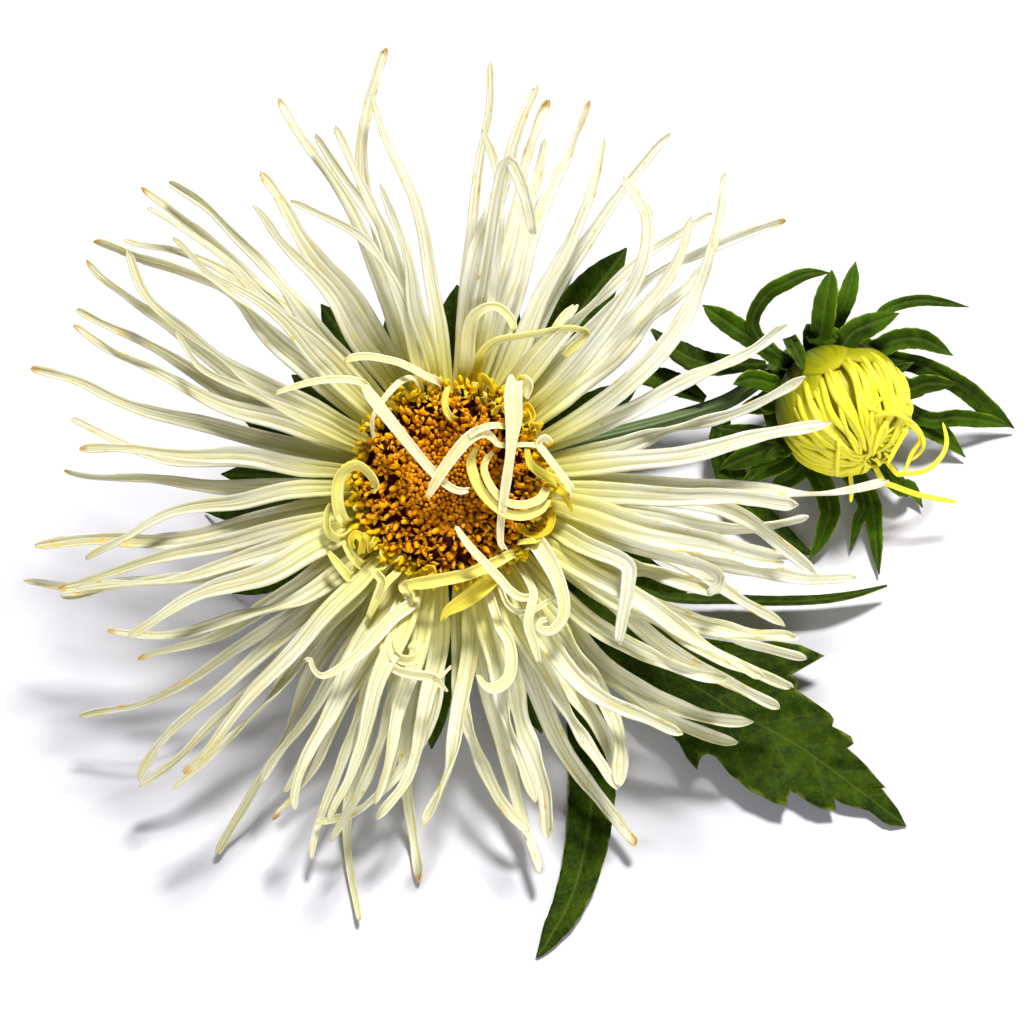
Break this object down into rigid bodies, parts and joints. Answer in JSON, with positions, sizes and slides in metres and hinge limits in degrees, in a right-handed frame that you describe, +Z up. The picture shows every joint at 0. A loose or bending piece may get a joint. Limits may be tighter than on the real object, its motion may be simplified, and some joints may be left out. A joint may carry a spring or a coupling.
{
  "type": "cut quilled aster flower",
  "caption": "Cut quilled aster lying down: one open bloom with narrow curled rays, leafy bracts, bent stem, toothed leaves and a side bud.",
  "frame": {"origin": "centre of the flat under the stem, on the surface that the flower lies on", "axes": "+Z up from the surface, -Y the way the bloom leans and looks, +X towards the bud"},
  "size_m": [0.1646, 0.1335, 0.0736],
  "materials": {
    "ray_petals": "soft satin cream petals, yellow at the foot",
    "disc": "orange and yellow florets with brown gaps",
    "foliage": "satin dark green leaves with paler veins and edges",
    "stem": "ribbed green stem with a pale cut end",
    "bud_petals": "bright yellow furled petals, green at the foot"
  },
  "bodies": {
    "root": {"ray_florets": "ray_petals", "disc_florets": "disc", "involucre": "foliage", "stem": "stem", "leaf_toothed": "foliage", "leaf_lower": "foliage", "leaf_right": "foliage", "branch_leaf_top": "foliage", "branch_leaf_mid": "foliage", "branch_leaf_low": "foliage", "bud_florets": "bud_petals", "bud_bracts": "foliage"}
  },
  "joints": []
}
